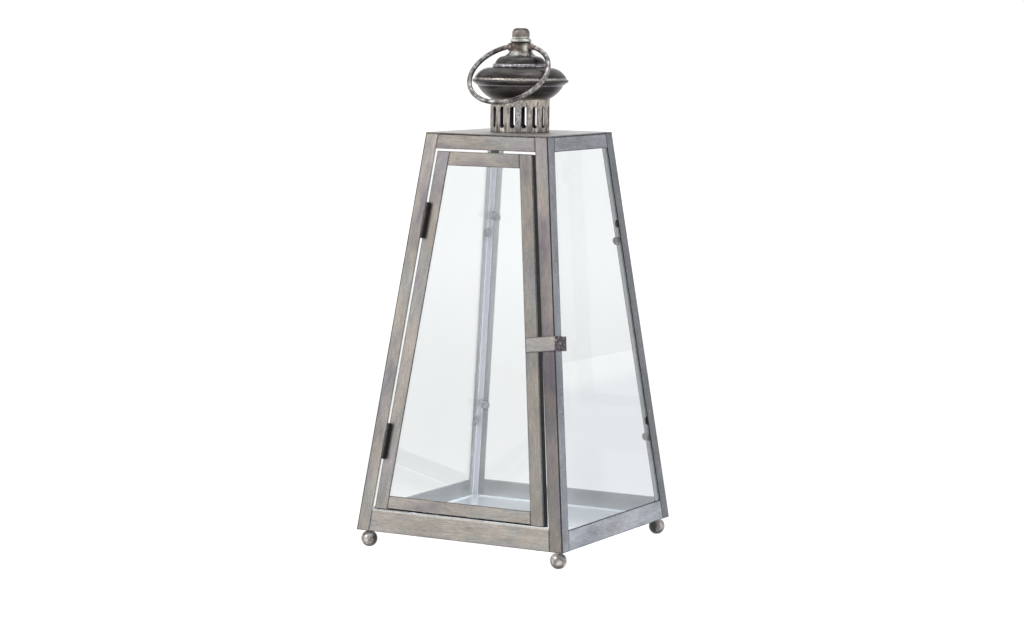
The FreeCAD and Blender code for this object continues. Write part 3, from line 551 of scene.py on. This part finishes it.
def height_band(graph, low, high, soft):
    """1 between two heights, with soft ends."""
    level = graph.axis(graph.coordinates.outputs["Object"], "Z")
    rise = graph.step(level, low - soft, low + soft)
    fall = graph.step(level, high - soft, high + soft, 1.0, 0.0)
    return graph.maths("MULTIPLY", rise, fall)


def glass_material(name, tint, dust=(1, 1, 1)):
    """Clear float glass with a faint cool tint, a little smear and dust low down. Lamps shine through."""
    graph = Graph(name)
    place = graph.place()
    smear = graph.noise(graph.scaled(place, (9, 9, 4)), 1.0, 3, 0.5)
    colour = graph.ramp(smear, [(0.35, tuple(part * 0.99 for part in tint)), (0.65, tint)])
    dusty = height_band(graph, -DUST_TOP, DUST_TOP, 9 * MM)
    colour = graph.mix("MULTIPLY", dusty, colour, dust)
    graph.set(Base_Color=colour, Roughness=0.0, IOR=1.45, Transmission_Weight=1.0)
    clear = graph.add("ShaderNodeBsdfTransparent")
    clear.inputs["Color"].default_value = (*tint, 1)
    path = graph.add("ShaderNodeLightPath")
    blend = graph.tree.nodes.new("ShaderNodeMixShader")
    graph.feed(blend.inputs["Fac"], path.outputs["Is Shadow Ray"])
    graph.feed(blend.inputs[1], graph.shader.outputs["BSDF"])
    graph.feed(blend.inputs[2], clear.outputs["BSDF"])
    graph.feed(graph.tree.nodes["Material Output"].inputs["Surface"], blend.outputs["Shader"])
    return graph.material


def ground_edge_material():
    """Ground glass edge: rough, bright and a little green, with chips along it. It glows: painted light for
    the light the edge catches.
    """
    graph = Graph("ground_glass_edge")
    chips = graph.noise(graph.place(), 700, 4, 0.7)
    colour = graph.ramp(chips, [(0.35, (0.80, 0.87, 0.86)), (0.6, (0.96, 0.98, 0.98))])
    graph.set(Base_Color=colour, Roughness=graph.span(chips, 0.35, 0.6), Emission_Color=colour,
              Emission_Strength=0.75)
    graph.bump(chips, 0.3, 0.1 * MM)
    return graph.material


def dark_steel(name):
    """Blackened hinge steel, greyer on its left side as painted light from the left, with the right side in
    painted shade.
    """
    graph = Graph(name)
    place = graph.place()
    rub = graph.noise(place, 420, 4, 0.6)
    black = graph.ramp(rub, [(0.35, tone(17, 14, 15)), (0.70, tone(34, 30, 31))])
    grey = graph.ramp(rub, [(0.35, tone(62, 58, 58)), (0.62, tone(86, 82, 81)), (0.80, tone(120, 116, 114))])
    # Painted light: the side facing left is lit, the other side shaded.
    lit_from_left = graph.vector("DOT_PRODUCT", graph.normal(), (-0.97, -0.2, 0.12))
    colour = graph.mix("MIX", graph.step(lit_from_left, -0.25, 0.35), black, grey)
    graph.set(Base_Color=colour, Metallic=0.6, Roughness=graph.span(rub, 0.35, 0.55))
    graph.bump(rub, 0.2, 0.2 * MM)
    return graph.material


def aged_metal(name, tones, stretch=(1, 1, 1), scale=90, edge=None, edge_width=0.5 * MM,
               roughness=(0.30, 0.5), dirt=0.85, speck=0.10, shift=(0, 0, 0), extra=None):
    """Spun or cast metal with blotchy patina, stretched to rings or streaks where asked."""
    graph = Graph(name)
    place = graph.place(shift)
    blotch = graph.noise(graph.scaled(place, stretch), scale, 5, 0.62)
    colour = graph.ramp(blotch, [(0.34, tones[0]), (0.46, tones[1]), (0.55, tones[2]), (0.68, tones[3])])
    pit = graph.noise(place, 1100, 3, 0.7)
    pitted = graph.ramp(pit, [(0.3, 1 - speck * 1.5), (0.7, 1 + speck * 0.5)])
    colour = graph.mix("MULTIPLY", 1.0, colour, pitted)
    if edge is not None:
        colour = edges(graph, colour, place, edge_width, edge)
    if extra is not None:
        colour = extra(graph, colour, place)
    colour = patina(graph, colour, place, dirt, CAST_DIRT)
    graph.set(Base_Color=colour, Metallic=0.85, Roughness=graph.span(pit, *roughness))
    graph.bump(pit, 0.12, 0.2 * MM)
    return graph.material


# ---------------------------------------------------------------- dressing the frame

def dress(node, material, bevel=0.0):
    """Material and softened edges for a piece of the frame."""
    piece = nodes[node]
    piece.data.materials.clear()
    piece.data.materials.append(material)
    if bevel:
        weld = piece.modifiers.new("weld", "WELD")
        weld.merge_threshold = 0.01 * MM
        soften = piece.modifiers.new("soften", "BEVEL")
        soften.width = bevel
        soften.segments = 2
        soften.limit_method = "ANGLE"
        soften.angle_limit = math.radians(35)
        soften.harden_normals = True


def post_direction(corner):
    x, y = CORNERS[corner]
    return Vector((-x * RUN, -y * RUN, FRAME_RISE)).normalized()


def dress_frame():
    """Posts, bands, plates and the door's strips."""
    post_dim = {"front_left": 1.05, "front_right": 0.94, "back_right": 0.62, "back_left": 1.05}
    for index, corner in enumerate(CORNERS):
        extra = {"front_right": near_post, "back_right": cut_edge}.get(corner) or corner_line(corner)
        inner_light_shade_and_marks = {"back_right": dark_corner("back_right"), "back_left": pale_corner}.get(corner)
        metal = pewter(f"post_{corner}", post_direction(corner), (0.7 * index, 0.3, 0.1), post_dim[corner],
                       extra, inner_light_shade_and_marks)
        dress(f"corner_post_{corner}", metal, 0.25 * MM)
    for index, face in enumerate(FACES):
        direction = (1, 0, 0) if face in ("front", "back") else (0, 1, 0)
        low_dim, high_dim = (1.12, 0.86) if face == "front" else (1.30, 1.10)
        shift = (0.2 * index, 0.5, 0.4 * index)
        top_edge = FRONT_BAND if face == "front" else SIDE_BAND
        low_extra = light_line(top_edge) if face == "front" else dark_line(top_edge + 0.3 * MM, 0.9 * MM)
        inner_light_shade_and_marks = dull_wall if face == "back" else None
        low_metal = pewter(f"bottom_band_{face}", direction, shift, low_dim, low_extra, inner_light_shade_and_marks)
        dress(f"bottom_band_{face}", low_metal, 0.2 * MM)
        high_metal = pewter(f"top_band_{face}", direction, shift, high_dim, dark_line(SLANT, 0.7 * MM))
        dress(f"top_band_{face}", high_metal, 0.2 * MM)
    for index, (side, dim) in enumerate((("left", 1.08), ("right", 0.86))):
        direction = post_direction(f"front_{side}")
        extra = together(dark_lip, dark_line(FRONT_BAND + 0.4 * MM, 0.9 * MM))
        metal = pewter(f"stile_{side}", direction, (1.3, 0.6 * index, 0.2), dim, extra, pale_inside=False)
        dress(f"door_stile_{side}", metal, 0.2 * MM)
    for index, (level, dim) in enumerate((("bottom", 1.10), ("top", 0.84))):
        extra = dark_line(FRONT_BAND + 1.0 * MM, 1.2 * MM)
        metal = pewter(f"rail_{level}", (1, 0, 0), (2.3, 0.9 * index, 0.2), dim, extra, pale_inside=False)
        dress(f"door_rail_{level}", metal, 0.2 * MM)
    dress("latch_strap", strap_metal(), 0.15 * MM)
    dress("base_plate", floor_plate_metal(), 0.1 * MM)
    dress("top_plate", lid_metal(), 0.2 * MM)


def strap_metal():
    """Strap: pale and greenish in front, dark purple-brown on its side leg, worn bright at the end."""
    def add(graph, colour, place):
        leg = graph.step(graph.axis(graph.normal(), "X"), 0.5, 0.8)
        worn = graph.noise(place, 420, 4, 0.7)
        dark = graph.ramp(worn, [(0.35, tone(52, 44, 50)), (0.55, tone(96, 88, 92)),
                                 (0.70, tone(196, 192, 190))])
        return graph.mix("MIX", leg, colour, dark)
    return pewter("strap", (1, 0, 0), (3.1, 0.2, 0.7), 1.04, add, pale_inside=False)


def floor_plate_metal():
    """Smooth tray floor that mirrors the walls around it, made bright as painted light. It glows a little:
    painted light for the light held inside.
    """
    graph = Graph("floor_plate")
    place = graph.place()
    cloud = graph.noise(place, 14, 3, 0.5)
    fine = graph.noise(graph.scaled(place, (60, 1500, 60)), 1.0, 3, 0.7)
    colour = graph.ramp(cloud, [(0.35, tone(224, 228, 234)), (0.65, tone(236, 240, 245))])
    colour = graph.mix("MULTIPLY", 1.0, colour, graph.ramp(fine, [(0.3, 0.95), (0.7, 1.02)]))
    graph.set(Base_Color=colour, Metallic=0.45, Roughness=graph.span(fine, 0.14, 0.24), Emission_Color=colour,
              Emission_Strength=PLATE_GLOW)
    graph.bump(fine, 0.05, 0.1 * MM)
    return graph.material


def lid_metal():
    """Top plate: pale and warm, brushed across, with a dark edge; its upward face is made lighter as painted
    light.
    """
    def add(graph, colour, place):
        # rim here picks the upward face, which is lightened as painted light.
        rim = graph.vector("DOT_PRODUCT", graph.normal(), (0, 0, 1))
        return graph.mix("MIX", graph.step(rim, 0.6, 0.9, 0.0, 0.25), colour, tone(226, 219, 212))
    return pewter("lid", (1, 0, 0), (0.4, 2.2, 0.3), 1.3, add)


def foot_material(corner):
    """Ball foot: pale and mottled outside, dark on the side that faces under the lantern and on its
    underside: a painted reflection of the shaded floor beneath.
    """
    x, y = CORNERS[corner]
    toward_axis = Vector((-x, -y, 0)).normalized()

    def add(graph, colour, place):
        # Painted reflection of the shaded floor under the lantern, on the side that faces it.
        inner = graph.vector("DOT_PRODUCT", graph.normal(), toward_axis)
        waver = graph.span(graph.noise(place, 150, 3, 0.6), -0.35, 0.35)
        shade = graph.step(graph.maths("ADD", inner, waver), -0.15, 0.55, 0.0, 0.92)
        colour = graph.mix("MIX", shade, colour, tone(44, 41, 40))
        # Painted reflection: the underside is darker too.
        under = graph.axis(graph.normal(), "Z")
        low = graph.step(graph.maths("ADD", under, waver), -0.75, -0.30, 0.75, 0.0)
        return graph.mix("MIX", low, colour, tone(74, 70, 68))
    tones = (tone(92, 88, 86), tone(134, 129, 127), tone(172, 167, 163), tone(214, 208, 204))
    return aged_metal(f"foot_{corner}", tones, scale=210, roughness=(0.22, 0.4),
                      shift=(0.3 * x, 0.7 * y, 0.1), extra=add)


def heights(node):
    """Lowest and highest level of a node."""
    low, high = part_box(node)
    return low[2], high[2]


def dress_cap():
    """Collar, cap, finial and ring."""
    collar_tones = (tone(112, 106, 104), tone(152, 145, 139), tone(182, 175, 166), tone(214, 209, 202))
    collar = aged_metal("collar_metal", collar_tones, stretch=(1.6, 1.6, 0.8), scale=190,
                        edge=tone(222, 218, 212), edge_width=0.4 * MM, speck=0.3, extra=collar_bands)
    dress("vent_collar", collar, 0.2 * MM)
    cap_tones = (tone(38, 35, 36), tone(56, 52, 52), tone(76, 72, 71), tone(108, 101, 97))
    cap = aged_metal("cap_metal", cap_tones, stretch=(0.5, 0.5, 3.0), scale=60, roughness=(0.24, 0.40),
                     dirt=0.5, speck=0.2, extra=cap_lines)
    for part in ("cap_bowl", "cap_dome"):
        dress(part, cap, 0.2 * MM)
    crown = aged_metal("crown_metal", cap_tones, stretch=(0.5, 0.5, 3.0), scale=60, roughness=(0.24, 0.40),
                       dirt=0.4, speck=0.2, extra=crown_bands)
    dress("cap_crown", crown, 0.2 * MM)
    finial_tones = (tone(62, 54, 50), tone(100, 92, 87), tone(148, 144, 138), tone(198, 200, 192))
    finial = aged_metal("finial_metal", finial_tones, stretch=(1, 1, 1.6), scale=120,
                        edge=tone(196, 198, 190), edge_width=0.4 * MM, dirt=0.75, speck=0.2,
                        extra=finial_bands)
    for part in ("finial_neck", "finial_knob", "finial_nut"):
        dress(part, finial, 0.2 * MM)
    ring_tones = (tone(66, 62, 62), tone(106, 102, 101), tone(144, 140, 138), tone(192, 189, 186))
    dress("ring_handle", aged_metal("ring_metal", ring_tones, scale=170, roughness=(0.2, 0.36), dirt=0.7))


def collar_bands(graph, colour, place):
    """Extra for the collar: sooty inside, warm and plain above its slots, speckled on one seam."""
    high = heights("vent_collar")[1]
    top = height_band(graph, high - 5.5 * MM, high, 1.0 * MM)
    colour = graph.mix("MIX", graph.maths("MULTIPLY", top, 0.65), colour, tone(178, 168, 156))
    seam = graph.vector("DOT_PRODUCT", graph.normal(), (0.42, -0.90, 0))
    speckle = graph.ramp(graph.noise(place, 900, 3, 0.7),
                         [(0.40, tone(88, 86, 88)), (0.58, tone(222, 222, 222))])
    colour = graph.mix("MIX", graph.step(seam, 0.955, 0.985, 0.0, 0.8), colour, speckle)
    return graph.mix("MIX", facing_in(graph), colour, tone(48, 42, 52))


def cap_lines(graph, colour, place):
    """Extra for the cap: bright lines above the rim and on the bowl's shoulder, partly wear and partly
    painted highlight.
    """
    rim = heights("cap_dome")[0]
    worn = graph.noise(graph.scaled(place, (1, 1, 2)), 500, 4, 0.75)
    for above, depth, shade, strength in ((0.9, 1.5, tone(206, 198, 190), 0.9),
                                          (-4.4, 0.9, tone(190, 184, 192), 0.75),
                                          (-0.3, 0.6, tone(140, 134, 134), 0.6)):
        band = height_band(graph, rim + above * MM, rim + (above + depth) * MM, 0.35 * MM)
        wear_and_highlight = graph.step(worn, 0.36, 0.62, 0.25 * strength, strength)
        colour = graph.mix("MIX", graph.maths("MULTIPLY", band, wear_and_highlight), colour, shade)
    foot = height_band(graph, heights("cap_bowl")[0], rim - 14.5 * MM, 0.5 * MM)
    return graph.mix("MIX", graph.maths("MULTIPLY", foot, 0.6), colour, tone(150, 142, 132))


def crown_bands(graph, colour, place):
    """Extra for the crown: a pale speckled foot and a pale flare."""
    low, high = heights("cap_crown")
    worn = graph.noise(place, 420, 4, 0.75)
    foot = height_band(graph, low - 0.4 * MM, low + 3.1 * MM, 0.3 * MM)
    pale = graph.ramp(worn, [(0.34, tone(88, 86, 90)), (0.50, tone(136, 134, 138)),
                             (0.66, tone(206, 204, 206))])
    colour = graph.mix("MIX", foot, colour, pale)
    flare = height_band(graph, high - 4.3 * MM, high + 5 * MM, 0.8 * MM)
    cloud = graph.noise(place, 110, 4, 0.6)
    green = graph.ramp(cloud, [(0.36, tone(80, 74, 70)), (0.48, tone(146, 147, 142)),
                               (0.62, tone(206, 210, 205))])
    return graph.mix("MIX", flare, colour, green)


def finial_bands(graph, colour, place):
    """Extra for the finial: brown neck with a painted highlight on one side, pale greenish bead and a brown
    top that darkens at its rim.
    """
    low, high = heights("finial_knob")
    blot = graph.noise(place, 160, 4, 0.6)
    neck = height_band(graph, low - 7 * MM, low + 0.6 * MM, 0.5 * MM)
    brown = graph.ramp(blot, [(0.36, tone(70, 58, 52)), (0.52, tone(104, 92, 84)),
                              (0.68, tone(176, 170, 160))])
    # Painted highlight on the neck's side towards +X.
    lit = graph.step(graph.vector("DOT_PRODUCT", graph.normal(), (0.99, 0.1, 0)), 0.45, 0.85)
    neck_tone = graph.mix("MIX", lit, brown, tone(216, 214, 206))
    colour = graph.mix("MIX", graph.maths("MULTIPLY", neck, 0.85), colour, neck_tone)
    bead = height_band(graph, low + 1.4 * MM, low + 5.2 * MM, 0.5 * MM)
    pale = graph.ramp(blot, [(0.36, tone(158, 160, 154)), (0.60, tone(216, 222, 214))])
    colour = graph.mix("MIX", graph.maths("MULTIPLY", bead, 0.85), colour, pale)
    top = height_band(graph, low + 5.8 * MM, high + 1 * MM, 0.6 * MM)
    dull = graph.ramp(blot, [(0.36, tone(92, 80, 78)), (0.64, tone(142, 132, 128))])
    colour = graph.mix("MIX", graph.maths("MULTIPLY", top, 0.9), colour, dull)
    rim = height_band(graph, high - 1.6 * MM, high + 1 * MM, 0.4 * MM)
    return graph.mix("MIX", graph.maths("MULTIPLY", rim, 0.85), colour, tone(52, 48, 47))


def dark_at_right(graph, colour, place):
    """Extra for the back clips: those on the right post are darker and blotchy."""
    x = graph.axis(graph.coordinates.outputs["Object"], "X")
    blot = graph.noise(place, 420, 4, 0.7)
    blotches = graph.ramp(blot, [(0.38, tone(40, 40, 42)), (0.52, tone(92, 92, 94)),
                              (0.66, tone(190, 190, 192))])
    return graph.mix("MIX", graph.step(x, -10 * MM, 10 * MM, 0.0, 0.85), colour, blotches)


def dress_small():
    """Glass, clips, hinges and feet."""
    glass = glass_material("float_glass", (0.895, 0.908, 0.908))
    side_glass = glass_material("side_glass", (0.895, 0.912, 0.922), (0.885, 0.895, 0.910))
    clip_tones = (tone(150, 150, 155), tone(180, 181, 185), tone(202, 204, 208), tone(224, 226, 230))
    clip = aged_metal("clip_steel", clip_tones, scale=260, dirt=0.3, extra=dark_at_right)
    dark_clip_tones = (tone(20, 19, 21), tone(32, 31, 33), tone(58, 57, 60), tone(120, 120, 124))
    dark_clip = aged_metal("dark_clip_steel", dark_clip_tones, scale=260, dirt=0.7)
    for face in ("right", "back", "left"):
        dress(f"pane_{face}", side_glass if face == "right" else glass)
        dress(f"pane_clips_{face}", dark_clip if face == "right" else clip, 0.15 * MM)
    dress("door_glass", glass)
    dress("door_glass_clips", clip, 0.15 * MM)
    dress("foot_rivets", nodes["base_plate"].data.materials[0])
    dress("door_stop_tab", dark_steel("stop_steel"), 0.15 * MM)
    hinge = dark_steel("hinge_steel")
    for place in ("lower", "upper"):
        for part in ("frame_knuckle", "door_knuckle", "pin"):
            dress(f"hinge_{place}_{part}", hinge, 0.3 * MM)
    for corner in CORNERS:
        dress(f"foot_{corner}", foot_material(corner))


# ---------------------------------------------------------------- ground edges of the panes

def face_matrix(face):
    """Frame of a face: x right, y inward, z up the slope, origin at the middle of its foot."""
    turn = Matrix.Rotation(math.radians(90 * FACES[face]), 4, "Z")
    slope = Matrix.Translation((0, -BASE_HALF, FRAME_LOW)) @ Matrix.Rotation(-FACE_TILT, 4, "X")
    return turn @ slope


def half_width(height, inset):
    """Half width of a face at a height up the slope, less an inset square to the slanted side."""
    return BASE_HALF - height * RUN / SLANT - inset / math.cos(SIDE_TILT)


def ground_edge(face):
    """A rough skin on the four cut edges of a pane, which catches light inside the glass."""
    skin = 0.12 * MM
    bevel = 0.25 * MM
    outline = [(sign * half_width(height, PANE_INSET), height)
               for sign, height in ((-1, PANE_LOW), (1, PANE_LOW), (1, PANE_HIGH), (-1, PANE_HIGH))]
    grown = [(x + math.copysign(skin, x), z + (skin if z > PANE_LOW else -skin)) for x, z in outline]
    back = GAUGE + GLASS
    rings = [(outline, GAUGE), (grown, GAUGE + bevel), (grown, back - bevel), (outline, back)]
    place = face_matrix(face)
    points = [place @ Vector((x, depth, z)) for ring, depth in rings for x, z in ring]
    walls = []
    for row in range(3):
        for index in range(4):
            after = (index + 1) % 4
            walls.append((row * 4 + index, row * 4 + after, row * 4 + 4 + after, row * 4 + 4 + index))
    mesh = bpy.data.meshes.new(f"pane_edge_{face}")
    mesh.from_pydata(points, [], walls)
    piece = bpy.data.objects.new(f"pane_edge_{face}", mesh)
    scene.collection.objects.link(piece)
    return piece


def add_ground_edges():
    material = ground_edge_material()
    for face in ("right", "back", "left"):
        piece = ground_edge(face)
        piece.data.materials.append(material)
        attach(piece, "lantern")


make_camera()
make_studio()
dress_frame()
dress_cap()
dress_small()
add_ground_edges()
